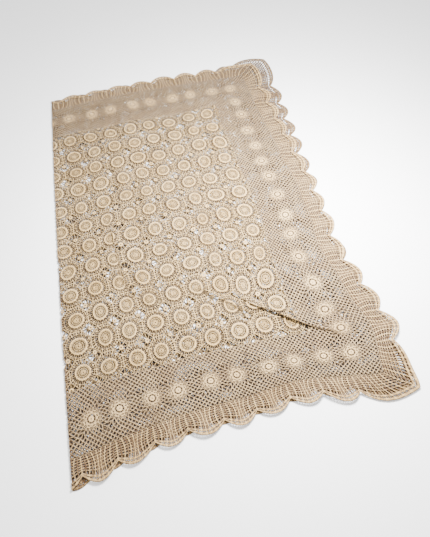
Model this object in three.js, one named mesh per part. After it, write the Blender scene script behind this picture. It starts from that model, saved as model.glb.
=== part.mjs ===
// A crocheted cotton lace throw, folded once along its length and laid flat.
// Millimetres. X runs across the throw, from the fold (-X) to the open side (+X), Y runs along the
// fold from the near end (-Y) to the far end (+Y), and Z is up, with the throw resting on z = 0.

import * as THREE from 'three';

// Driving dimensions
const MOTIF_PITCH_ACROSS = 80;
const MOTIF_PITCH_ALONG = 88;
const MOTIF_ROWS = 12;
const MOTIF_COLUMNS = 18;
const BORDER_WIDTH = 170;
const EDGING_DEPTH = 75;
const SCALLOP_RISE = 18;
const SIDE_SCALLOPS = 14;
const END_SCALLOPS = 9;
const FOLD_OFFSET = 10;
const CLOTH_THICKNESS = 3;
const LEAF_GAP = 3;
const SEAM_GAP = 0.3;

// The soft lapped crease that runs across the near open corner of the upper leaf
const TUCK_LENGTH = 300;
const TUCK_WIDTH = 60;
const TUCK_HEIGHT = 14;
const TUCK_TURN_DEG = -38.5;
const TUCK_FROM_OPEN_EDGE = 285;
const TUCK_FROM_NEAR_END = 305;

const FINENESS = { scallop: 6, bend: 6, tuck: 10 };
const COTTON = { field: '#d3c2a2', border: '#c2b096', edging: '#cdbd9f', fold: '#c4b291' };

// Sizes that follow from them
const FRAME_DEPTH = BORDER_WIDTH + EDGING_DEPTH;
const OPEN_WIDTH = MOTIF_COLUMNS * MOTIF_PITCH_ACROSS + 2 * FRAME_DEPTH;
const FIELD_LENGTH = MOTIF_ROWS * MOTIF_PITCH_ALONG;
const THROW_LENGTH = FIELD_LENGTH + 2 * FRAME_DEPTH;
const LOWER_WIDTH = OPEN_WIDTH / 2 + FOLD_OFFSET;
const UPPER_WIDTH = OPEN_WIDTH / 2 - FOLD_OFFSET;
const STACK_HEIGHT = 2 * CLOTH_THICKNESS + LEAF_GAP;
const BEND_RADIUS = STACK_HEIGHT / 2;
const FOLD_X = -LOWER_WIDTH / 2;

const group = new THREE.Group();

function cotton(color) {
  return new THREE.MeshStandardMaterial({ color, roughness: 0.95, metalness: 0 });
}

function addPiece(name, geometry, color) {
  const mesh = new THREE.Mesh(geometry, cotton(color));
  mesh.name = name;
  group.add(mesh);
  return mesh;
}

// A flat rectangle of cloth between two corners, standing on height z
function addPanel(name, left, right, near, far, z, color) {
  const geometry = new THREE.BoxGeometry(right - left, far - near, CLOTH_THICKNESS);
  const mesh = addPiece(name, geometry, color);
  mesh.position.set((left + right) / 2, (near + far) / 2, z + CLOTH_THICKNESS / 2);
  return mesh;
}

// A strip of edging: straight along y = 0 from x = 0, and a row of equal arcs on its outer side
function scallopedStrip(length, count) {
  const span = length / count;
  const radius = (span * span / 4 + SCALLOP_RISE * SCALLOP_RISE) / (2 * SCALLOP_RISE);
  const halfAngle = Math.asin(span / 2 / radius);
  const shape = new THREE.Shape();
  shape.moveTo(length, 0);
  shape.lineTo(length, EDGING_DEPTH - SCALLOP_RISE);
  for (let i = count - 1; i >= 0; i -= 1) {
    const middle = (i + 0.5) * span;
    const start = Math.PI / 2 - halfAngle;
    shape.absarc(middle, EDGING_DEPTH - radius, radius, start, Math.PI - start, false);
  }
  shape.lineTo(0, 0);
  shape.closePath();
  const options = { depth: CLOTH_THICKNESS, bevelEnabled: false, curveSegments: FINENESS.scallop };
  return new THREE.ExtrudeGeometry(shape, options);
}

// One half of the fold's bend, a quarter ring along the whole length; side is 1 above, -1 below
function addBend(name, side) {
  const inner = BEND_RADIUS - CLOTH_THICKNESS;
  const parting = SEAM_GAP / 2;
  const outerAngle = Math.PI - side * Math.asin(parting / BEND_RADIUS);
  const innerAngle = Math.PI - side * Math.asin(parting / inner);
  const leafAngle = Math.PI - side * Math.PI / 2;
  const shape = new THREE.Shape();
  shape.absarc(0, 0, BEND_RADIUS, outerAngle, leafAngle, side > 0);
  shape.absarc(0, 0, inner, leafAngle, innerAngle, side < 0);
  shape.closePath();
  const options = { depth: THROW_LENGTH, bevelEnabled: false, curveSegments: FINENESS.bend };
  const geometry = new THREE.ExtrudeGeometry(shape, options);
  geometry.translate(0, 0, -THROW_LENGTH / 2);
  geometry.rotateX(Math.PI / 2);
  const mesh = addPiece(name, geometry, COTTON.fold);
  mesh.position.set(FOLD_X + BEND_RADIUS, 0, BEND_RADIUS);
  return mesh;
}

// One leaf of the folded throw: rows of joined motifs, a mesh border on three sides, and edging
function addLeaf(prefix, width, z) {
  const start = FOLD_X + BEND_RADIUS + SEAM_GAP;
  const openEdge = FOLD_X + width;
  const fieldEnd = openEdge - FRAME_DEPTH;
  const borderEnd = fieldEnd + BORDER_WIDTH;
  const fieldHalf = FIELD_LENGTH / 2;
  const borderHalf = fieldHalf + BORDER_WIDTH;
  const clear = SEAM_GAP / 2;

  for (let row = 0; row < MOTIF_ROWS; row += 1) {
    const near = -fieldHalf + row * MOTIF_PITCH_ALONG;
    const name = `${prefix}_motif_row_${String(row + 1).padStart(2, '0')}`;
    addPanel(name, start, fieldEnd - clear, near + clear, near + MOTIF_PITCH_ALONG - clear, z,
      COTTON.field);
  }

  const borderOut = borderHalf - SEAM_GAP;
  const borderSide = borderEnd - SEAM_GAP;
  addPanel(`${prefix}_side_border`, fieldEnd + clear, borderSide, -borderOut, borderOut, z,
    COTTON.border);
  addPanel(`${prefix}_near_border`, start, fieldEnd - clear, -borderOut, -fieldHalf - clear, z,
    COTTON.border);
  addPanel(`${prefix}_far_border`, start, fieldEnd - clear, fieldHalf + clear, borderOut, z,
    COTTON.border);

  const endEdging = scallopedStrip(borderSide - start, END_SCALLOPS);
  const far = addPiece(`${prefix}_far_edging`, endEdging, COTTON.edging);
  far.position.set(start, borderHalf, z);
  const near = addPiece(`${prefix}_near_edging`, endEdging.clone(), COTTON.edging);
  near.rotation.z = Math.PI;
  near.position.set(borderSide, -borderHalf, z);
  const side = scallopedStrip(THROW_LENGTH, SIDE_SCALLOPS);
  const edge = addPiece(`${prefix}_side_edging`, side, COTTON.edging);
  edge.rotation.z = -Math.PI / 2;
  edge.position.set(borderEnd, THROW_LENGTH / 2, z);
}

// The lapped crease: a low round-backed ridge lying on the upper leaf
function addTuck() {
  const radius = (TUCK_WIDTH * TUCK_WIDTH / 4 + TUCK_HEIGHT * TUCK_HEIGHT) / (2 * TUCK_HEIGHT);
  const halfAngle = Math.asin(TUCK_WIDTH / 2 / radius);
  const start = Math.PI / 2 - halfAngle;
  const shape = new THREE.Shape();
  shape.absarc(0, TUCK_HEIGHT - radius, radius, start, Math.PI - start, false);
  shape.closePath();
  const options = { depth: TUCK_LENGTH, bevelEnabled: false, curveSegments: FINENESS.tuck };
  const geometry = new THREE.ExtrudeGeometry(shape, options);
  geometry.translate(0, 0, -TUCK_LENGTH / 2);
  geometry.rotateX(Math.PI / 2);
  geometry.rotateZ(Math.PI / 2);
  const mesh = addPiece('upper_tuck', geometry, COTTON.field);
  mesh.rotation.z = THREE.MathUtils.degToRad(TUCK_TURN_DEG);
  const openEdge = FOLD_X + UPPER_WIDTH;
  const nearEnd = -THROW_LENGTH / 2;
  mesh.position.set(openEdge - TUCK_FROM_OPEN_EDGE, nearEnd + TUCK_FROM_NEAR_END,
    STACK_HEIGHT + SEAM_GAP);
}

addLeaf('lower', LOWER_WIDTH, 0);
addLeaf('upper', UPPER_WIDTH, CLOTH_THICKNESS + LEAF_GAP);
addBend('lower_fold_turn', -1);
addBend('upper_fold_turn', 1);
addTuck();

export default group;
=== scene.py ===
import math

import bpy
import numpy as np
from mathutils import Matrix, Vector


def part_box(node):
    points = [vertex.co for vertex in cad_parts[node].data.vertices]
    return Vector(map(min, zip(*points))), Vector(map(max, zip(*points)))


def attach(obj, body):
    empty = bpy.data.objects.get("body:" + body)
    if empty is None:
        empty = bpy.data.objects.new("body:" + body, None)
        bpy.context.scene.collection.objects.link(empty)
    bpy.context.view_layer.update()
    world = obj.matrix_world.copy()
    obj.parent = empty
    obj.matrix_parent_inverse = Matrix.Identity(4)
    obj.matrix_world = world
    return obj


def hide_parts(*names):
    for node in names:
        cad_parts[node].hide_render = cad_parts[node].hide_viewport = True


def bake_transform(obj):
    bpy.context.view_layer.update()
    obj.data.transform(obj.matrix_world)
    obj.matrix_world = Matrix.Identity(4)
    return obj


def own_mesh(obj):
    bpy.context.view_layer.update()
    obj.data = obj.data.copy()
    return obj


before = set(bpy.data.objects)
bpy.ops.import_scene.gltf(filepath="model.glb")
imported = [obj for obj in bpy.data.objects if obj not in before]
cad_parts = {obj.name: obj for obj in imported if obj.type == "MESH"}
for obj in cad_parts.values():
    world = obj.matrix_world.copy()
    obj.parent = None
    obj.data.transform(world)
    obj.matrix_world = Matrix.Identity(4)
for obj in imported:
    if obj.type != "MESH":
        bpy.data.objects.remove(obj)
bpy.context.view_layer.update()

MM = 0.001


# ---- The open throw ------------------------------------------------------------------------
# One crocheted cotton sheet, worked flat: 18 by 12 wheel motifs, a mesh border and a scalloped
# edging. Its flat places are in mm: u runs across it, 0 at the fold and positive on the upper
# leaf, and v runs along the fold, positive towards the far end. All sizes come from the frame.
def extent(node):
    """Lowest and highest corner of a frame node, in mm."""
    low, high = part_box(node)
    return np.array(low) / MM, np.array(high) / MM


COLUMNS = 18
ROW_GAP = 0.3             # mm left between two rows of the frame
ROWS = sum(name.startswith("upper_motif_row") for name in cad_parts)
crown_x = extent("lower_fold_turn")[0][0]
row_low, row_high = extent("upper_motif_row_01")
field_half = -row_low[1] + ROW_GAP / 2
pitch_along = 2 * field_half / ROWS
upper_field = round(row_high[0] - crown_x, 0)
lower_field = round(extent("lower_motif_row_01")[1][0] - crown_x, 0)
pitch_across = (upper_field + lower_field) / COLUMNS
edging_low, edging_high = extent("upper_side_edging")
border_width = edging_low[0] - crown_x - upper_field
edging_depth = edging_high[0] - edging_low[0]
half_length = edging_high[1]
lower_middle = (extent("lower_motif_row_01")[0][2] + extent("lower_motif_row_01")[1][2]) / 2
upper_middle = (row_low[2] + row_high[2]) / 2


# ---- How the throw lies --------------------------------------------------------------------
# Soft cotton lace, folded once by hand, a little askew to its rows because it shears easily. The
# lower leaf lies flat. The upper one has soft ripples and five creases, and at the strongest it
# laps over itself. Every strand is carried by these functions. Sizes are in mm.
FOLD_SHIFT = 8.0          # the fold's distance from its even place, at mid length
FOLD_SLANT = 0.063        # how fast the fold crosses the columns
LEAN_KEPT = 0.66          # share of that lean left at the open edge
LEAN_START, LEAN_FADE = 100.0, 700.0      # where the lean starts to fade, and over how far
BEND = (upper_middle - lower_middle) / 2
BEND_X = crown_x + BEND + lower_middle
QUARTER = BEND * math.pi / 2
FLOOR_GAP = 0.05          # the yarn under the throw is pressed flat just above the floor
HALF_ACROSS = 480.0       # half the folded throw's width, near enough
FOLD_HOLD = 300.0         # how far from the fold the cloth grows free of it
EDGE_START, EDGE_GROWTH = 60.0, 380.0     # x from which the open edge's pull grows, over how far
END_GROWTH = 245.0        # how far out from the field the pull on the ends grows over
BOW, BOW_MEAN = 6.0, 0.33                 # how far right the ends lie of the middle, less its mean
SPREAD, SHEAR = 16.0, 9.0                 # widening at both sides, and leaning from end to end
SIDE_SAG, END_SAG = 23.0, 3.0             # how much nearer the sides and the ends lie
UPPER_EDGE = ((-26, -240, 140), (-22, -700, 90), (6, -545, 60))    # bells: pull, middle, half
LOWER_EDGE = ((-8, -110, 170),)
NEAR_END = ((34, -490, 190), (-16, 150, 130), (14, 400, 90))
UPPER_PULL, LOWER_PULL, NEAR_PULL = -8.0, -38.0, -24.0             # even pull besides the bells
LOWER_START, LOWER_GROWTH = -560.0, 300.0  # v from which the lower leaf's pull grows
UPPER_CORNER, LOWER_CORNER = 14.0, 52.0   # how far each leaf's far corner is drawn out,
CORNER_X, CORNER_X_GROWTH = 200.0, 270.0  # from this x
CORNER_V, CORNER_V_GROWTH = 480.0, 290.0  # and this v
TUCKED, TUCK_GROWTH = 16.0, 200.0         # how far the lower leaf's near end lies under the upper
CREASES = (               # middle x, y, heading in degrees, half length, lap, rise
    (198.0, -436.0, -38.5, 168.0, 36.0, 12.0),
    (27.0, -362.0, -42.0, 110.0, 15.0, 10.0),
    (-270.0, -120.0, -84.0, 170.0, 14.0, 9.0),
    (60.0, 430.0, -14.0, 170.0, 14.0, 9.0),
    (-300.0, 440.0, -35.0, 150.0, 7.0, 5.0),
)
LAP_BEHIND, LAP_BEFORE = 150.0, 17.0      # how far behind and before a crease the cloth moves
RISE_BEHIND, RISE_BEFORE = 42.0, 15.0     # and how far behind and before it stands up
WANDER = 3.2              # how far the rows stray from straight, over waves of
WANDER_ACROSS, WANDER_ALONG = 210.0, 230.0
LIFT = 2.0                # the upper leaf's mean height over its flat place
BROAD, FINE = (3.8, 330.0), (2.3, 105.0)  # height and wavelength of its two ripples
UNDER = (0.5, 280.0)      # and of the lower leaf's
FLAT_BY_FOLD, RIPPLE_GROWTH = 25.0, 110.0  # ripples start so far from the fold, and grow over that


def ease(t):
    """Smooth step: 0 below 0, 1 above 1, and 3t^2 - 2t^3 between."""
    t = np.clip(t, 0, 1)
    return t * t * (3 - 2 * t)


SWELL_TOP = 3.2           # about the largest sum that the six waves reach


def swell(x, y, wave, seed):
    """Sum of six sine waves of about one wavelength in even directions, from -1 to 1."""
    draw = np.random.default_rng(seed)
    total = np.zeros(np.shape(x))
    for k in range(6):
        angle = (k + draw.uniform(0.2, 0.8)) * math.pi / 6
        length = wave * draw.uniform(0.8, 1.3)
        phase = draw.uniform(0, 2 * math.pi)
        along = x * math.cos(angle) + y * math.sin(angle)
        total += np.sin(2 * math.pi * along / length + phase)
    return total / SWELL_TOP


def fold_line(v):
    """Where the fold crosses the flat throw at each v."""
    return FOLD_SHIFT + FOLD_SLANT * v


def reach(u, v):
    """Distance from the fold, positive on the upper leaf: u less the fold's place, whose lean
    fades towards the open edge."""
    lean = 1 - (1 - LEAN_KEPT) * ease((np.abs(u) - LEAN_START) / LEAN_FADE)
    return u - fold_line(v) * lean


def bells(place, rows):
    """Sum of bells, each its pull times exp of minus the squared distance over its half width."""
    return sum(pull * np.exp(-((place - middle) / half) ** 2) for pull, middle, half in rows)


def plan(u, v):
    """Plan place x, y of a flat point before ripples. The open edge of each leaf is pulled in
    and out by a few bells along it, the ends by bells across them, and the far corner out."""
    along = reach(u, v)
    upper = along > 0
    x = BEND_X + np.maximum(np.abs(along) - QUARTER, 0)
    far = v / half_length
    side = x / HALF_ACROSS
    free = ease((x - crown_x) / FOLD_HOLD)
    edge = ease((x - EDGE_START) / EDGE_GROWTH)
    at_end = ease((-v - field_half) / END_GROWTH)
    upper_pull = UPPER_PULL + bells(v, UPPER_EDGE)
    lower_pull = LOWER_PULL * ease((v - LOWER_START) / LOWER_GROWTH) + bells(v, LOWER_EDGE)
    near_pull = NEAR_PULL + bells(x, NEAR_END)
    corner = ease((x - CORNER_X) / CORNER_X_GROWTH) * ease((v - CORNER_V) / CORNER_V_GROWTH)
    x = x + BOW * (far ** 2 - BOW_MEAN) + free * (SPREAD * side ** 2 - SHEAR * side * far)
    x = x + edge * np.where(upper, upper_pull, lower_pull)
    tucked = TUCKED * at_end * (along < 0) * ease(-along / TUCK_GROWTH)
    drawn = corner * np.where(upper, UPPER_CORNER, LOWER_CORNER)
    y = v - SIDE_SAG * side ** 2 - END_SAG * far ** 2 - near_pull * at_end + tucked + drawn
    return x, y


def lap(x, y):
    """Shift in x and y and rise of the upper leaf at its creases. Across a crease the cloth
    moves by a bell that is short on its front and long on its back, so the front overhangs."""
    dx, dy, rise = (np.zeros(np.shape(x)) for _ in range(3))
    for middle_x, middle_y, heading, half, shift, height in CREASES:
        c, s = math.cos(math.radians(heading)), math.sin(math.radians(heading))
        t = (x - middle_x) * c + (y - middle_y) * s
        back = -(x - middle_x) * s + (y - middle_y) * c
        window = np.exp(-(t / half) ** 4)
        draw = np.exp(-(back / np.where(back > 0, LAP_BEHIND, LAP_BEFORE)) ** 2)
        bell = np.exp(-(back / np.where(back > 0, RISE_BEHIND, RISE_BEFORE)) ** 2)
        dx += shift * draw * window * s
        dy -= shift * draw * window * c
        rise += height * bell * window
    return dx, dy, rise


def lay(u, v, out):
    """Place x, y, z in mm of a point at flat u, v that stands out mm proud of the cloth's
    right side. The cloth turns round the fold on a half circle and runs flat either way."""
    u = u + WANDER * swell(u, v, WANDER_ACROSS, 3)
    v = v + WANDER * swell(u, v, WANDER_ALONG, 4)
    along = reach(u, v)
    upper = along > 0
    x, y = plan(u, v)
    turn = np.clip(along / BEND, -math.pi / 2, math.pi / 2)
    away = ease((np.abs(along) - FLAT_BY_FOLD) / RIPPLE_GROWTH)
    x = x - (BEND + out) * np.cos(turn)
    z = BEND + lower_middle + (BEND + out) * np.sin(turn)
    ripple = LIFT + BROAD[0] * swell(x, y, BROAD[1], 5) + FINE[0] * swell(x, y, FINE[1], 6)
    low_ripple = np.maximum(UNDER[0] * swell(x, y, UNDER[1], 7), 0)
    dx, dy, rise = lap(x, y)
    fade = away * upper
    x, y = x + dx * fade, y + dy * fade
    z = z + fade * (np.maximum(ripple, -LIFT) + rise) + away * ~upper * low_ripple
    return np.stack([x, y, np.maximum(z, FLOOR_GAP)], -1)


# ---- Crochet work --------------------------------------------------------------------------
# Lace is a net of cotton strands round small holes, worked loop by loop with a hook. Here it is
# nodes joined into cells. Strands run along the cells' sides and slope to the rim of each open
# cell's hole. A closed cell is solid stitches, and may be dished in its middle.
BACK = 0.65               # how far the wrong side stands out, as a share of the right side
WRONG_SIDE_SHADE = 0.62         # painted shade: the wrong side's tone, between the hollows' 0 and the crests' 1, kept dark so that the leaf below looks shaded through the holes
SHADE_FREE_HEIGHT = 1.3           # height in mm from which the yarn shows its full tone; lower strands get painted shade
HOLE_LIMIT = 0.8          # a hole's rim moves in by this share of the cell's inner radius at most
MITRE_LIMIT = 0.45        # keeps the rim's corners from running far out at sharp turns
MERGE_GRID = 0.2          # nodes in the same square of this many mm become one
MERGE_SHIFT = 0.0137      # moves the squares' sides off the places where nodes lie


def turned(d):
    """Each direction turned a quarter to its left."""
    return np.stack([-d[..., 1], d[..., 0]], -1)


def unit(d):
    """Each vector divided by its length."""
    return d / np.maximum(np.linalg.norm(d, axis=-1, keepdims=True), 1e-9)


def rim(corners, strand):
    """The hole's corners: every side of a cell moved inwards by half a strand, and never by
    more than a share of the cell's inner radius (twice its area over its outline)."""
    after, before = np.roll(corners, -1, 1), np.roll(corners, 1, 1)
    inward_before, inward_after = turned(unit(corners - before)), turned(unit(after - corners))
    share = 1 + (inward_before * inward_after).sum(2, keepdims=True)
    mitre = (inward_before + inward_after) / np.maximum(share, MITRE_LIMIT)
    cross = corners[..., 0] * after[..., 1] - corners[..., 1] * after[..., 0]
    outline = np.linalg.norm(after - corners, axis=2).sum(1)
    half = np.minimum(strand, HOLE_LIMIT * cross.sum(1) / outline)
    return corners + mitre * half[:, None, None]


def net(nodes, crest, groups):
    """Closed surface of a net in flat places. groups holds (cells, strand or None, dish):
    cells are node numbers in order, strand is the half width of the strands round the hole,
    and None closes the cell, with its middle dished by that share of the crest. Returns
    points (u, v, out), relief from 0 in the holes to 1 on the crests, and the faces. The relief
    sets painted shade: low strands, dished middles and the whole wrong side are darkened."""
    used = np.unique(np.concatenate([cells.ravel() for cells, _, _ in groups]))
    number = np.full(len(nodes), -1)
    number[used] = np.arange(len(used))
    count = len(used)
    flat, high = nodes[used], crest[used]
    points = [np.column_stack([flat, high]), np.column_stack([flat, -BACK * high])]
    # painted shade: strands below the shade-free height, and the wrong side throughout, get a lower
    # relief and so a darker tone
    tone = np.clip(high / SHADE_FREE_HEIGHT, 0, 1)
    relief = [tone, WRONG_SIDE_SHADE * tone]
    faces, edges = [], []
    total = 2 * count
    for cells, strand, dish in groups:
        cells = number[cells]
        size, sides = cells.shape
        after = np.roll(cells, -1, 1)
        edges.append(np.stack([cells, after], -1).reshape(-1, 2))
        corners = flat[cells]
        if strand is not None:
            inner = rim(corners, strand).reshape(-1, 2)
            points.append(np.column_stack([inner, np.zeros(len(inner))]))
            relief.append(np.zeros(len(inner)))
            hole = total + np.arange(size * sides).reshape(size, sides)
            hole_after = np.roll(hole, -1, 1)
            faces.append(np.stack([cells, after, hole_after, hole], -1).reshape(-1, 4))
            under = np.stack([after + count, cells + count, hole, hole_after], -1)
            faces.append(under.reshape(-1, 4))
            total += size * sides
        elif dish > 0:
            middle = corners.mean(1)
            level = high[cells].mean(1) * (1 - dish)
            points.append(np.column_stack([middle, level]))
            points.append(np.column_stack([middle, -BACK * level]))
            # painted shade: a dished middle is darkened by its dish
            sunk = tone[cells].mean(1) * (1 - dish)
            relief += [sunk, WRONG_SIDE_SHADE * sunk]
            top = np.repeat(total + np.arange(size), sides).reshape(size, sides)
            faces.append(np.stack([cells, after, top], -1).reshape(-1, 3))
            under = np.stack([after + count, cells + count, top + size], -1)
            faces.append(under.reshape(-1, 3))
            total += 2 * size
        else:
            faces.append(cells)
            faces.append(cells[:, ::-1] + count)
    sides = np.concatenate(edges).astype(np.int64)
    code = sides[:, 0] * count + sides[:, 1]
    back = sides[:, 1] * count + sides[:, 0]
    a, b = sides[~np.isin(code, back)].T
    faces.append(np.stack([a, a + count, b + count, b], -1))
    return np.concatenate(points), np.concatenate(relief), faces


def halved(points, relief, triangles):
    """Every triangle cut into four at the middles of its sides."""
    sides = np.stack([triangles, np.roll(triangles, -1, 1)], -1).reshape(-1, 2)
    pairs, number = np.unique(np.sort(sides, 1), axis=0, return_inverse=True)
    middle = (len(points) + number.ravel()).reshape(-1, 3)
    a, b, c = triangles.T
    ab, bc, ca = middle.T
    parts = [np.stack(t, -1) for t in ((a, ab, ca), (ab, b, bc), (ca, bc, c), (ab, bc, ca))]
    points = np.concatenate([points, points[pairs].mean(1)])
    return points, np.concatenate([relief, relief[pairs].mean(1)]), np.concatenate(parts)


def crochet(name, nodes, crest, groups, cuts=0):
    """A mesh object of the net laid in its place, smooth shaded, with its relief kept as an
    attribute, which the yarn turns into painted shade. With cuts, every triangle is halved that
    often, so the work can turn tightly."""
    points, relief, faces = net(nodes, crest, groups)
    if cuts:
        fans = [np.stack([f[:, [0] * (f.shape[1] - 2)], f[:, 1:-1], f[:, 2:]], -1).reshape(-1, 3)
                for f in faces]
        faces = np.concatenate(fans)
        for _ in range(cuts):
            points, relief, faces = halved(points, relief, faces)
        faces = [faces]
    mesh = bpy.data.meshes.new(name)
    places = lay(*points.T) * MM
    mesh.from_pydata(places.tolist(), [], [f for block in faces for f in block.tolist()])
    mesh.attributes.new("relief", "FLOAT", "POINT").data.foreach_set("value", relief)
    mesh.polygons.foreach_set("use_smooth", np.ones(len(mesh.polygons), bool))
    mesh.update()
    piece = bpy.data.objects.new(name, mesh)
    bpy.context.scene.collection.objects.link(piece)
    return piece


def merged(nodes, crest, groups):
    """The same net with nodes at one place made one node."""
    key = np.round((nodes + MERGE_SHIFT) / MERGE_GRID).astype(np.int64)
    _, first, number = np.unique(key, axis=0, return_index=True, return_inverse=True)
    number = number.ravel()
    return nodes[first], crest[first], [(number[cells], *rest) for cells, *rest in groups]


# ---- Ecru cotton yarn ----------------------------------------------------------------------
# Unbleached four-ply cotton, washed soft: matt with a faint fuzz, creamy on the crests, and
# slightly uneven in tone from patch to patch. Painted shade in dark brown lies down between the
# stitches and round the holes. A real stitch is about 3 mm and a ply 0.5 mm. The plies are drawn
# coarser, so that they show.
STITCH = 3.4              # mm between stitches
PLY = 1.2                 # mm between the plies' twists
PATCH = 90.0              # mm between patches of tone
STITCH_RELIEF = 1.1       # height in mm that a bump of the stitch pattern stands for


def linear(code):
    """An sRGB hex colour as linear RGBA."""
    s = np.array([int(code[i:i + 2], 16) for i in (1, 3, 5)]) / 255
    rgb = np.where(s <= 0.04045, s / 12.92, ((s + 0.055) / 1.055) ** 2.4)
    return (*rgb, 1.0)


def add(tree, kind, settings, **links):
    """A node of that kind with its settings (attributes or socket values) and its inputs."""
    node = tree.nodes.new(kind)
    for key, value in settings.items():
        if isinstance(key, str) and hasattr(node, key):
            setattr(node, key, value)
        else:
            node.inputs[key].default_value = value
    for key, source in links.items():
        tree.links.new(source, node.inputs[key.replace("_", " ")])
    return node


def cotton_yarn(name, crest_colour, hollow_shade_colour, patch_colour):
    """Matt cotton. Stitches are a cell pattern, plies and patches are noise. The tone runs from
    the hollow shade colour to the crest's by the strand's relief less the gaps between stitches:
    the dark hollow colour is painted shade at the holes' rims, on low strands and between stitches."""
    material = bpy.data.materials.new(name)
    material.use_nodes = True
    tree = material.node_tree
    tree.nodes.clear()
    place = add(tree, "ShaderNodeTexCoord", {}).outputs["Object"]
    relief = add(tree, "ShaderNodeAttribute", {"attribute_name": "relief"}).outputs["Fac"]
    stitch = add(tree, "ShaderNodeTexVoronoi", {"Scale": 1 / (STITCH * MM)}, Vector=place)
    ply = add(tree, "ShaderNodeTexNoise", {"Scale": 1 / (PLY * MM), "Detail": 2.0},
              Vector=place)
    patch = add(tree, "ShaderNodeTexNoise", {"Scale": 1 / (PATCH * MM), "Detail": 3.0},
                Vector=place)
    tone = add(tree, "ShaderNodeMapRange", {"From Min": 0.38, "From Max": 0.62},
               Value=patch.outputs["Fac"])
    body = add(tree, "ShaderNodeMix", {"data_type": "RGBA"}, Factor=tone.outputs["Result"])
    body.inputs[6].default_value = linear(crest_colour)
    body.inputs[7].default_value = linear(patch_colour)
    # painted shade: the gaps between stitches and the low relief pull the colour towards the dark
    # hollow colour
    stitch_gap_shade = add(tree, "ShaderNodeMapRange", {"From Min": 0.15, "From Max": 0.75},
              Value=stitch.outputs["Distance"])
    height = add(tree, "ShaderNodeMath", {"operation": "MULTIPLY_ADD", 1: -0.45},
                 Value=stitch_gap_shade.outputs["Result"])
    tree.links.new(relief, height.inputs[2])
    depth = add(tree, "ShaderNodeMapRange", {"From Min": 0.05, "From Max": 0.85},
                Value=height.outputs["Value"])
    shaded_colour = add(tree, "ShaderNodeMix", {"data_type": "RGBA"}, Factor=depth.outputs["Result"])
    shaded_colour.inputs[6].default_value = linear(hollow_shade_colour)
    tree.links.new(body.outputs[2], shaded_colour.inputs[7])
    rough = add(tree, "ShaderNodeMath", {"operation": "MULTIPLY_ADD", 1: -1.1},
                Value=stitch.outputs["Distance"])
    tree.links.new(ply.outputs["Fac"], rough.inputs[2])
    bump_map = add(tree, "ShaderNodeBump", {"Strength": 0.6, "Distance": STITCH_RELIEF * MM},
                   Height=rough.outputs["Value"])
    shader = add(tree, "ShaderNodeBsdfPrincipled",
                 {"Roughness": 0.92, "IOR": 1.5, "Specular IOR Level": 0.2,
                  "Sheen Weight": 0.15, "Sheen Roughness": 0.5},
                 Base_Color=shaded_colour.outputs[2], Normal=bump_map.outputs["Normal"])
    add(tree, "ShaderNodeOutputMaterial", {}, Surface=shader.outputs["BSDF"])
    return material


# ---- Wheel motifs and fillers --------------------------------------------------------------
# Each motif is a cotton wheel, worked in rounds from its centre: a ring, a close disc, 16
# eyelets, 32 short slots, a thick corded rim, 32 spokes, and 32 eyelets up to its outline. Motifs
# are joined along their sides, and a small flower of eight arms fills each gap between four.
# Colours: crest, hollow (painted shade in the holes and between stitches), patch.
FIELD_YARN = ("cotton_field", cotton_yarn("ecru_cotton_wheels", "#DDBA80", "#2F1D0D", "#CFAB6F"))
SPOKES = 32
ROUNDS = (                # radius in motif widths, stitches, crest height in mm
    (0.028, 16, 1.0), (0.048, 16, 1.6), (0.062, 16, 0.5), (0.078, 16, 1.4), (0.092, 16, 0.6),
    (0.108, 16, 1.3), (0.152, 32, 1.1), (0.166, 32, 1.2), (0.218, 32, 1.0), (0.230, 32, 1.3),
    (0.243, 32, 0.5), (0.262, 32, 2.3), (0.284, 32, 2.0), (0.298, 32, 0.8), (0.425, 32, 1.2),
)
RIBBING = 0.42            # how much every second stitch of a round stands out more
CHAIN_CREST = 1.3         # the outer chain's height in mm
DIP_ANGLES = (22.5, 33.75, 45.0)          # where the outer chain leaves the side, and dips to
DIP_RADII = (0.5412, 0.505, 0.49)         # these radii in motif widths
FILLER_ROUNDS = ((0.028, 0.9), (0.052, 1.3), (0.076, 1.0))    # radius, crest
FILLER_EDGE = 1.15        # crest of the chain where a flower's arms end
TENSIONS = (0.92, 1.0, 1.08)   # how the strands' width varies with the hand's tension
UNEVEN_TURN = 0.07        # spread of the motifs' turns, in radians


def chain_radius(angle):
    """The outer chain: straight along each side for 22.5 degrees either way, then dipping
    towards the diagonals."""
    from_side = np.abs((angle + math.pi / 4) % (math.pi / 2) - math.pi / 4)
    straight = 0.5 / np.cos(from_side)
    dip = np.interp(np.degrees(from_side), DIP_ANGLES, DIP_RADII)
    return np.where(from_side < math.radians(DIP_ANGLES[0] + 0.1), straight, dip)


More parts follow.
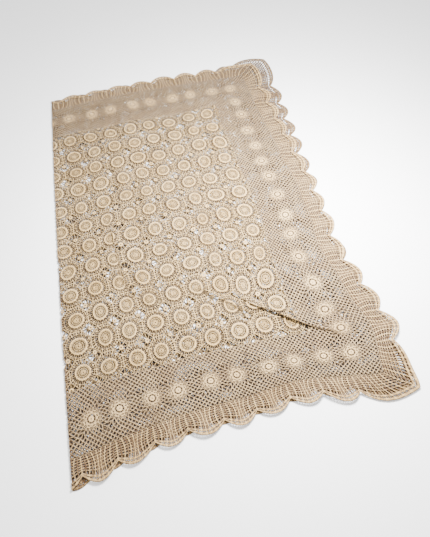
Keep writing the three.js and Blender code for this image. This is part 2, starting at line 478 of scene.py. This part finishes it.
def wheel():
    """Nodes, crests and cells of one motif, one motif width across, round its centre."""
    nodes, crests, starts = [], [], []
    for k, (radius, count, crest) in enumerate(ROUNDS + ((None, SPOKES, CHAIN_CREST),)):
        angle = np.arange(count) * 2 * math.pi / count
        r = chain_radius(angle) if radius is None else radius
        starts.append(sum(map(len, nodes)))
        nodes.append(np.column_stack([r * np.cos(angle), r * np.sin(angle)]))
        ribs = 0 if radius is None else RIBBING * (-1.0) ** (np.arange(count) + k)
        crests.append(crest * (1 + ribs) * np.ones(count))
    whole = np.arange(SPOKES)
    half = whole[:SPOKES // 2]

    def band(k, pick):
        """Quads between round k and the next, for the picked stitches."""
        nxt = (pick + 1) % len(nodes[k])
        a, b = starts[k], starts[k + 1]
        return np.stack([a + pick, b + pick, b + nxt, a + nxt], -1)

    outer = [starts[6] + (2 * half + t) % SPOKES for t in range(3)]
    eyelets = np.stack([starts[5] + half, *outer, starts[5] + (half + 1) % len(half)], -1)
    groups = [            # cells, half strand in mm or None for close work, dish
        (half[None, :] + starts[0], 0.9, 0),
        (np.concatenate([band(k, half) for k in range(5)]), None, 0),
        (eyelets, 0.6, 0),
        (band(6, whole), None, 0),
        (band(7, whole), 0.55, 0),
        (np.concatenate([band(k, whole) for k in range(8, 13)]), None, 0),
        (band(13, whole), 1.8, 0),
        (band(14, whole), 2.2, 0),
    ]
    return np.concatenate(nodes), np.concatenate(crests), groups


def filler():
    """Nodes, crests and cells of one filler flower round the corner where four motifs meet."""
    nodes, crests = [], []
    turn8 = np.arange(8) * math.pi / 4
    for radius, crest in FILLER_ROUNDS:
        nodes.append(radius * np.column_stack([np.cos(turn8), np.sin(turn8)]))
        crests.append(np.full(8, crest))
    tip = 1 - 0.5 * math.tan(math.radians(22.5)) - 0.5
    dip = math.radians(DIP_ANGLES[1])
    low, high = 0.5 - DIP_RADII[1] * math.cos(dip), 0.5 - DIP_RADII[1] * math.sin(dip)
    diagonal = 0.5 - DIP_RADII[2] * math.sqrt(0.5)
    quarter = np.array([(tip, 0), (high, low), (diagonal, diagonal), (low, high)])
    for k in range(4):
        c, s = round(math.cos(k * math.pi / 2)), round(math.sin(k * math.pi / 2))
        nodes.append(quarter @ np.array([[c, s], [-s, c]]))
        crests.append(np.full(4, FILLER_EDGE))
    ring = np.arange(8)
    after = (ring + 1) % 8
    outer = 24 + np.arange(16).reshape(8, 2)
    last = 24 + (np.arange(8) * 2 + 2) % 16
    arms = np.stack([16 + ring, outer[:, 0], outer[:, 1], last, 16 + after], -1)
    groups = [
        (ring[None, :], 0.9, 0),
        (np.stack([ring, 8 + ring, 8 + after, after], -1), None, 0),
        (np.stack([8 + ring, 16 + ring, 16 + after, 8 + after], -1), None, 0),
        (arms, 1.5, 0),
    ]
    return np.concatenate(nodes), np.concatenate(crests), groups


def tiled(pattern, centres, loose, uneven, seed):
    """The pattern repeated at each centre, scaled to the motif's pitch. Hand work is uneven:
    each one is shifted, turned, stretched and sized a little, in full up to 0.7 of the loose
    radius and fading to nothing at it, and its strands are thinner or thicker."""
    nodes, crest, groups = pattern
    draw = np.random.default_rng(seed)
    scale = np.array([pitch_across, pitch_along])
    held = 1 - ease((np.linalg.norm(nodes, axis=1) / loose - 0.7) / 0.3)
    count = len(centres)
    shift = draw.normal(0, uneven * 0.5, (count, 1, 2))
    turn = draw.normal(0, UNEVEN_TURN, (count, 1, 1))
    stretch = draw.normal(0, uneven, (count, 1, 2)) + draw.normal(0, uneven, (count, 1, 1))
    moved = nodes * stretch + turned(nodes) * turn + shift
    places = centres[:, None, :] + (nodes + moved * held[:, None]) * scale
    start = (np.arange(count) * len(nodes))[:, None, None]
    tension = draw.integers(0, len(TENSIONS), count)
    spread = []
    for cells, strand, dish in groups:
        placed = cells[None] + start
        for k, share in enumerate(TENSIONS):
            alike = placed[tension == k].reshape(-1, cells.shape[1])
            spread.append((alike, strand and strand * share, dish))
    return places.reshape(-1, 2), np.tile(crest, count), spread


def joined(*works):
    """Several nets as one, not yet merged."""
    nodes, crests, groups, start = [], [], [], 0
    for n, c, g in works:
        nodes.append(n)
        crests.append(c)
        groups += [(cells + start, *rest) for cells, *rest in g]
        start += len(n)
    return np.concatenate(nodes), np.concatenate(crests), groups


columns = -lower_field + (np.arange(COLUMNS) + 0.5) * pitch_across
rows = -field_half + (np.arange(ROWS) + 0.5) * pitch_along
motifs = np.stack(np.meshgrid(columns, rows), -1).reshape(-1, 2)
corner_u = -lower_field + np.arange(COLUMNS + 1) * pitch_across
corner_v = -field_half + np.arange(ROWS + 1) * pitch_along
corners = np.stack(np.meshgrid(corner_u, corner_v), -1).reshape(-1, 2)
wheels = tiled(wheel(), motifs, loose=0.5, uneven=0.05, seed=11)
fillers = tiled(filler(), corners, loose=0.17, uneven=0.09, seed=12)
field = merged(*joined(wheels, fillers))

FOLD_BAND = 8.0           # flat distance either side of the fold that is kept as one bend
SIDES = {"upper": 1, "lower": -1}
PRESSED = 1.2             # how much wider the strands lie in the lower leaf, pressed flat


def picked(work, inside):
    """The cells of a net whose middles pass the test, which takes arrays of u and v."""
    nodes, crest, groups = work
    chosen = []
    for cells, *rest in groups:
        middle = nodes[cells].mean(1)
        chosen.append((cells[inside(middle[:, 0], middle[:, 1])], *rest))
    return nodes, crest, [g for g in chosen if len(g[0])]


def leaf_piece(name, leaf, work, inside, yarn, nodes_replaced):
    """One piece of a leaf: the net's cells on that leaf that pass the test, laid in place and
    riding on the leaf's body."""
    slot_name, cotton = yarn
    side = SIDES[leaf]
    nodes, crest, groups = picked(
        work, lambda u, v: (side * reach(u, v) > FOLD_BAND) & inside(u, v))
    if leaf == "lower":
        groups = [(cells, strand and strand * PRESSED, dish) for cells, strand, dish in groups]
    piece = crochet(name, nodes, crest, groups)
    piece.data.materials.append(cotton)
    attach(piece, leaf + "_leaf")
    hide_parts(*nodes_replaced)
    if leaf == "upper":
        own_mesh(piece)


def in_field(u, v):
    """Whether a flat point is in the field of motifs."""
    return (u > -lower_field) & (u < upper_field) & (np.abs(v) < field_half)


for leaf, field_reach in (("upper", upper_field), ("lower", lower_field)):
    for row in range(ROWS):
        near = -field_half + row * pitch_along
        number = f"{row + 1:02d}"
        # the tuck is the second row's own lace lapped over itself, so that row shows both nodes
        extra = ["upper_tuck"] if leaf == "upper" and row == 1 else []
        leaf_piece(
            f"{leaf}_wheels_{number}", leaf, field,
            lambda u, v: in_field(u, v) & (v > near) & (v < near + pitch_along),
            FIELD_YARN, [f"{leaf}_motif_row_{number}"] + extra,
        )


# ---- Mesh border ---------------------------------------------------------------------------
# Open cotton net of diamonds, worked outwards from the field on all sides. It runs in rounds
# near each of a line of rosettes. The diamonds are drawn about 9 mm a side, which is coarser
# than the real 6 to 7 mm, so that the holes show.
# Colours: crest, hollow (painted shade in the holes and between stitches), patch.
BORDER_YARN = ("cotton_border", cotton_yarn("ecru_cotton_mesh", "#D6B580", "#37261A", "#C8A673"))
NET_STEP = 6.6            # half a diamond's width
NET_CREST = 1.0           # the net's height in mm
NET_STRAND = 2.5          # half width of the net's strands, middling tension
ROSETTE_STEPS = 4         # half a rosette's width, in steps
ROSETTE_LINE = 14         # the rosettes' place out from the field, in steps
ROSETTES_ACROSS = 20
ROSETTES_ALONG = 15
ROUND_REACH = 43.0        # how far from a rosette's centre the net still runs round it,
ROUND_FADE = 14.0         # and the last part of that, over which it turns into diamonds
ROUND_STEPS = 9           # steps either way that hold that reach
FIRST_STITCH = -0.75 * math.pi            # where each rosette's rounds begin
ROSETTE_ROUNDS = (        # radius in mm, stitches, crest height in mm
    (2.1, 4, 1.0), (4.6, 8, 1.7), (7.0, 8, 1.6), (8.4, 8, 0.8), (12.4, 16, 1.0),
    (16.0, 16, 1.5), (19.6, 16, 1.0), (23.0, 16, 1.3),
)


def even(value):
    """The nearest even whole number."""
    return 2 * int(round(value / 2))


def steps(half_low, half_high):
    """Places along one direction: border, field and border, in nearly even steps."""
    margin = even(border_width / NET_STEP)
    middle = even((half_low + half_high) / NET_STEP)
    low = np.linspace(-half_low - border_width, -half_low, margin + 1)
    high = np.linspace(half_high, half_high + border_width, margin + 1)
    centre = np.linspace(-half_low, half_high, middle + 1)
    return np.concatenate([low[:-1], centre, high[1:]]), margin


def rounded(offset):
    """Squares drawn into circles: the larger coordinate becomes the radius, and the smaller
    one over it becomes the angle, from 0 to 45 degrees."""
    x, y = offset[..., 0], offset[..., 1]
    wide = np.abs(x) >= np.abs(y)
    big = np.where(wide, x, y)
    slope = np.where(wide, y, x) / np.where(np.abs(big) < 1e-6, 1e-6, big) * math.pi / 4
    first, second = big * np.cos(slope), big * np.sin(slope)
    return np.stack([np.where(wide, first, second), np.where(wide, second, first)], -1)


def mesh_border():
    """The border's net and its rosettes. Nodes are the grid points whose steps add up even,
    and a diamond lies round each one that adds up odd. At an edge of the net a diamond that
    misses one corner is a triangle."""
    across, margin = steps(lower_field, upper_field)
    along, _ = steps(field_half, field_half)
    wide, long = len(across), len(along)
    places = np.stack(np.meshgrid(across, along, indexing="ij"), -1)
    first = margin - ROSETTE_LINE
    across_at = [even(i) for i in np.linspace(first, wide - 1 - first, ROSETTES_ACROSS)]
    along_at = [even(j) for j in np.linspace(first, long - 1 - first, ROSETTES_ALONG)]
    centres = [(i, j) for i in across_at for j in (along_at[0], along_at[-1])]
    centres += [(i, j) for i in (across_at[0], across_at[-1]) for j in along_at[1:-1]]
    taken = np.zeros((wide, long), bool)
    half = ROSETTE_STEPS
    rosette_places, rims = [], []
    around = np.arange(-half, half, 2)
    ring_i = np.concatenate([around, np.full(half, half), -around, np.full(half, -half)])
    ring_j = np.concatenate([np.full(half, -half), around, np.full(half, half), -around])
    even_places = places.copy()
    for i, j in centres:
        block = (slice(i - ROUND_STEPS, i + ROUND_STEPS + 1),
                 slice(j - ROUND_STEPS, j + ROUND_STEPS + 1))
        centre = even_places[i, j]
        offset = even_places[block] - centre
        square = np.abs(offset).max(2)
        share = ease((ROUND_REACH - square) / ROUND_FADE)[..., None]
        places[block] += share * (rounded(offset) - offset)
        taken[i - half + 1:i + half, j - half + 1:j + half] = True
        rosette_places.append(centre)
        rims.append((i + ring_i) * long + j + ring_j)
    number = np.arange(wide * long).reshape(wide, long)
    i, j = np.meshgrid(np.arange(wide), np.arange(long), indexing="ij")
    in_field_at = (i > margin) & (i < wide - 1 - margin) & (j > margin) & (j < long - 1 - margin)
    blocked = taken | in_field_at
    middle = ((i + j) % 2 == 1) & ~blocked
    groups = []
    around_cell = ((0, -1), (1, 0), (0, 1), (-1, 0))
    reached = [(i + di >= 0) & (i + di < wide) & (j + dj >= 0) & (j + dj < long)
               & ~blocked[np.clip(i + di, 0, wide - 1), np.clip(j + dj, 0, long - 1)]
               for di, dj in around_cell]
    for missing in (None, 0, 1, 2, 3):
        kept = [k for k in range(4) if k != missing]
        picked_cells = middle & np.all([reached[k] for k in kept], 0)
        if missing is not None:
            picked_cells &= ~reached[missing]
        at = number[picked_cells]
        cells = np.stack([at + around_cell[k][0] * long + around_cell[k][1] for k in kept], -1)
        tension = np.random.default_rng(13).integers(0, len(TENSIONS), len(cells))
        groups += [(cells[tension == k], NET_STRAND * share, 0)
                   for k, share in enumerate(TENSIONS)]
    net_nodes = places.reshape(-1, 2)
    net_work = (net_nodes, np.full(len(net_nodes), NET_CREST), groups)
    return joined(net_work, rosettes(np.array(rosette_places), net_nodes[np.array(rims)]))


def rosettes(centres, rims):
    """A rosette at each centre: a ring, a close disc, a round of eyelets, a close round and
    two rounds of petals and holes by turns, then open cells out to its rim of 16 nodes."""
    count = len(centres)
    nodes, crests, starts = [], [], []
    for radius, stitches, crest in ROSETTE_ROUNDS:
        angle = np.arange(stitches) * 2 * math.pi / stitches + FIRST_STITCH
        starts.append(sum(n.shape[1] for n in nodes))
        ring = radius * np.column_stack([np.cos(angle), np.sin(angle)])
        nodes.append(centres[:, None] + ring[None])
        crests.append(np.full(stitches, crest))
    starts.append(sum(n.shape[1] for n in nodes))
    nodes.append(rims)
    rim_size = rims.shape[1]
    crests.append(np.full(rim_size, NET_CREST))
    size = starts[-1] + rim_size
    first, middle, whole = (np.arange(rim_size // k) for k in (4, 2, 1))

    def band(k, pick):
        """Cells between round k and the next, which has as many stitches or twice as many."""
        inner, outer = len(crests[k]), len(crests[k + 1])
        times = outer // inner
        a, b = starts[k], starts[k + 1]
        arc = [b + (pick * times + t) % outer for t in range(times + 1)]
        return np.stack([a + pick, *arc, a + (pick + 1) % inner], -1)

    groups = [            # cells, half strand in mm or None for close work, dish
        (first[None, :], 0.9, 0),
        (band(0, first), None, 0),
        (band(1, middle), None, 0),
        (band(2, middle), None, 0),
        (band(3, middle), 1.0, 0),
        (band(4, whole), None, 0.3),
        (band(5, whole[::2]), 1.0, 0),
        (band(5, whole[1::2]), None, 0.3),
        (band(6, whole[1::2]), 1.0, 0),
        (band(6, whole[::2]), None, 0.3),
        (band(7, whole), 1.2, 0),
    ]
    offset = (np.arange(count) * size)[:, None, None]
    spread = [((cells[None] + offset).reshape(-1, cells.shape[1]), *rest)
              for cells, *rest in groups]
    places = np.concatenate(nodes, 1).reshape(-1, 2)
    return places, np.tile(np.concatenate(crests), count), spread


border = merged(*mesh_border())
for leaf, field_reach in (("upper", upper_field), ("lower", lower_field)):
    side = SIDES[leaf]
    leaf_piece(f"{leaf}_side_mesh", leaf, border, lambda u, v: side * u > field_reach,
               BORDER_YARN, [f"{leaf}_side_border"])
    for end, sign in (("near", -1), ("far", 1)):
        leaf_piece(f"{leaf}_{end}_mesh", leaf, border,
                   lambda u, v: (side * u < field_reach) & (sign * v > field_half),
                   BORDER_YARN, [f"{leaf}_{end}_border"])


# ---- Scalloped edging ----------------------------------------------------------------------
# Cotton fans worked on to the border's outer round: six rounds of open mesh, ribs with long
# slots, a thin cord, small eyelets, and a thin corded rim in scallops. The fans at a corner are
# mitred, and their rims run on round it.
# Colours: crest, hollow (painted shade in the holes and between stitches), patch.
EDGING_YARN = ("cotton_edging",
               cotton_yarn("ecru_cotton_edging", "#D2B07A", "#4A3420", "#C3A16A"))
FANS_ACROSS = 18
FANS_ALONG = 14
FAN_STITCHES = 14
FAN_RISE = 28.0           # how far a scallop's middle stands out past its ends
FAN_GATHER = 8.0          # how far the ribs are drawn in at mid depth
FAN_START = 0.6           # share of that rise by which the first rounds are shallower
CORNER_FALL = 0.54        # share of it by which the rim falls back at a corner
MITRE_CURVE = 1.4         # how quickly the mitre fades along the last fan
CLOSE_DISH = 0.3          # how deep the close rounds are dished, as a share of their crest
FAN_ROUNDS = (            # share of the depth, crest in mm, half strand or None for close work
    (0.00, 1.0, None), (0.11, 1.0, 2.2), (0.22, 1.0, 2.2), (0.33, 1.0, 2.2), (0.44, 1.0, 2.2),
    (0.55, 1.0, 2.2), (0.66, 1.1, 2.2), (0.83, 1.1, 2.1), (0.86, 1.5, None),
    (0.93, 1.0, 1.8), (0.96, 1.7, None), (1.00, 0.8, None),
)
BEADING = 0.35            # how much every second stitch of the edging stands out more


def edging_side(start, end, outward, fans):
    """One side's net from corner to corner. The rounds go from straight at the border to arcs
    at the rim, the ribs are drawn together at mid depth, and the end fans are mitred."""
    start, end, outward = (np.array(p, float) for p in (start, end, outward))
    columns = fans * FAN_STITCHES
    index = np.arange(columns + 1)
    phase = (index / FAN_STITCHES) % 1.0
    near = np.clip(1 - index / FAN_STITCHES, 0, 1)
    away = np.clip(1 - (columns - index) / FAN_STITCHES, 0, 1)
    fall = np.where(np.maximum(near, away) > 0.5, CORNER_FALL, 1.0)
    depth = edging_depth - FAN_RISE * fall * (2 * phase - 1) ** 2
    direction = unit(end - start)
    length = np.linalg.norm(end - start)
    lean = np.sin(2 * math.pi * phase)
    nodes, crests, groups = [], [], []
    for share, crest, _ in FAN_ROUNDS:
        out = share * (share * depth + (1 - share) * (edging_depth - FAN_RISE * FAN_START))
        gather = FAN_GATHER * lean * 4 * share * (1 - share)
        mitre = (away ** MITRE_CURVE - near ** MITRE_CURVE) * out
        along = index / columns * length + mitre + gather
        nodes.append(start + along[:, None] * direction + out[:, None] * outward)
        crests.append(crest * (1 + BEADING * (-1.0) ** index))
    turns_left = direction[0] * outward[1] - direction[1] * outward[0] > 0
    pick = np.arange(columns)
    for k, (_, _, strand) in enumerate(FAN_ROUNDS[1:]):
        a, b = k * (columns + 1), (k + 1) * (columns + 1)
        cells = np.stack([a + pick, b + pick, b + pick + 1, a + pick + 1], -1)
        cells = cells[:, ::-1] if turns_left else cells
        groups.append((cells, strand, 0 if strand else CLOSE_DISH))
    return np.concatenate(nodes), np.concatenate(crests), groups


left, right = -lower_field - border_width, upper_field + border_width
bottom, top = -field_half - border_width, field_half + border_width
edgings = {
    "near": edging_side((left, bottom), (right, bottom), (0, -1), FANS_ACROSS),
    "far": edging_side((left, top), (right, top), (0, 1), FANS_ACROSS),
    "upper": edging_side((right, bottom), (right, top), (1, 0), FANS_ALONG),
    "lower": edging_side((left, bottom), (left, top), (-1, 0), FANS_ALONG),
}


def whole_side(u, v):
    """Every cell of a side: the fold alone parts the two leaves' fans at an end."""
    return np.ones_like(u, bool)


for leaf, side in SIDES.items():
    leaf_piece(f"{leaf}_side_fans", leaf, edgings[leaf], lambda u, v: side * u > 0,
               EDGING_YARN, [f"{leaf}_side_edging"])
    for end in ("near", "far"):
        leaf_piece(f"{leaf}_{end}_fans", leaf, edgings[end], whole_side,
                   EDGING_YARN, [f"{leaf}_{end}_edging"])


# ---- The bend at the fold ------------------------------------------------------------------
# The same cotton lace where it turns round from the lower leaf to the upper one, kept as one
# narrow strip. It is cut fine enough to turn smoothly.
# Its crest colour is darker than the field's: painted shade along the fold's edge.
FOLD_SHADED_COTTON = cotton_yarn("ecru_cotton_fold_shaded", "#C4A370", "#3F2B1A", "#B99660")
BEND_CUTS = 2             # how often the strip's triangles are halved
strip = picked(joined(field, border, edgings["near"], edgings["far"]),
               lambda u, v: np.abs(reach(u, v)) <= FOLD_BAND)
bend = crochet("fold_bend", *strip, cuts=BEND_CUTS)
bend.data.materials.append(FOLD_SHADED_COTTON)
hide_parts("lower_fold_turn", "upper_fold_turn")
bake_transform(bend)


# ---- Floor, light and camera ---------------------------------------------------------------
# A plain pale floor, a softbox overhead towards the open side, and an even fill. Places and
# sizes here are in metres, and the light's power is in watts.
FLOOR_HALF = 6.0
SOFTBOX_AT, SOFTBOX_AIM = (0.36, -0.12, 0.85), (0.2, -0.08, 0)
SOFTBOX_SIZE, SOFTBOX_POWER = 0.35, 92
FILL = 1.5
EYE_AT = (-0.1008, -0.9597, 1.2222)
EYE_TURNS = (-9.54, 30.5, -3.95)          # heading, tilt and roll in degrees
SENSOR_WIDTH = FOCAL_LENGTH = 36.0        # in mm


def plain_floor():
    """A square of pale floor just under the throw."""
    mesh = bpy.data.meshes.new("floor")
    outline = [(x * FLOOR_HALF, y * FLOOR_HALF, 0) for x, y in ((-1, -1), (1, -1), (1, 1), (-1, 1))]
    mesh.from_pydata(outline, [], [(0, 1, 2, 3)])
    floor = bpy.data.objects.new("floor", mesh)
    bpy.context.scene.collection.objects.link(floor)
    material = bpy.data.materials.new("pale_floor")
    material.use_nodes = True
    shader = material.node_tree.nodes["Principled BSDF"]
    shader.inputs["Base Color"].default_value = linear("#FFFFFF")
    shader.inputs["Roughness"].default_value = 0.9
    floor.data.materials.append(material)


def softbox():
    """A square area light, turned so that its back points straight away from its aim."""
    light = bpy.data.lights.new("softbox", "AREA")
    light.size = SOFTBOX_SIZE
    light.energy = SOFTBOX_POWER
    lamp = bpy.data.objects.new("softbox", light)
    lamp.location = SOFTBOX_AT
    back = unit(np.array(SOFTBOX_AT, float) - np.array(SOFTBOX_AIM, float))
    sideways = unit(np.cross((0, 1, 0), back))
    facing = np.column_stack([sideways, np.cross(back, sideways), back])
    lamp.rotation_euler = Matrix(facing).to_euler()
    bpy.context.scene.collection.objects.link(lamp)


plain_floor()
softbox()
world = bpy.data.worlds.new("studio")
world.use_nodes = True
world.node_tree.nodes["Background"].inputs["Color"].default_value = (1, 1, 1, 1)
world.node_tree.nodes["Background"].inputs["Strength"].default_value = FILL
bpy.context.scene.world = world

lens = bpy.data.cameras.new("eye")
lens.sensor_fit = "HORIZONTAL"
lens.sensor_width = SENSOR_WIDTH
lens.lens = FOCAL_LENGTH
eye = bpy.data.objects.new("eye", lens)
placed = Matrix.Translation(EYE_AT)
for angle, axis in zip(EYE_TURNS, "ZXZ"):
    placed = placed @ Matrix.Rotation(math.radians(angle), 4, axis)
eye.matrix_world = placed
bpy.context.scene.collection.objects.link(eye)
bpy.context.scene.camera = eye
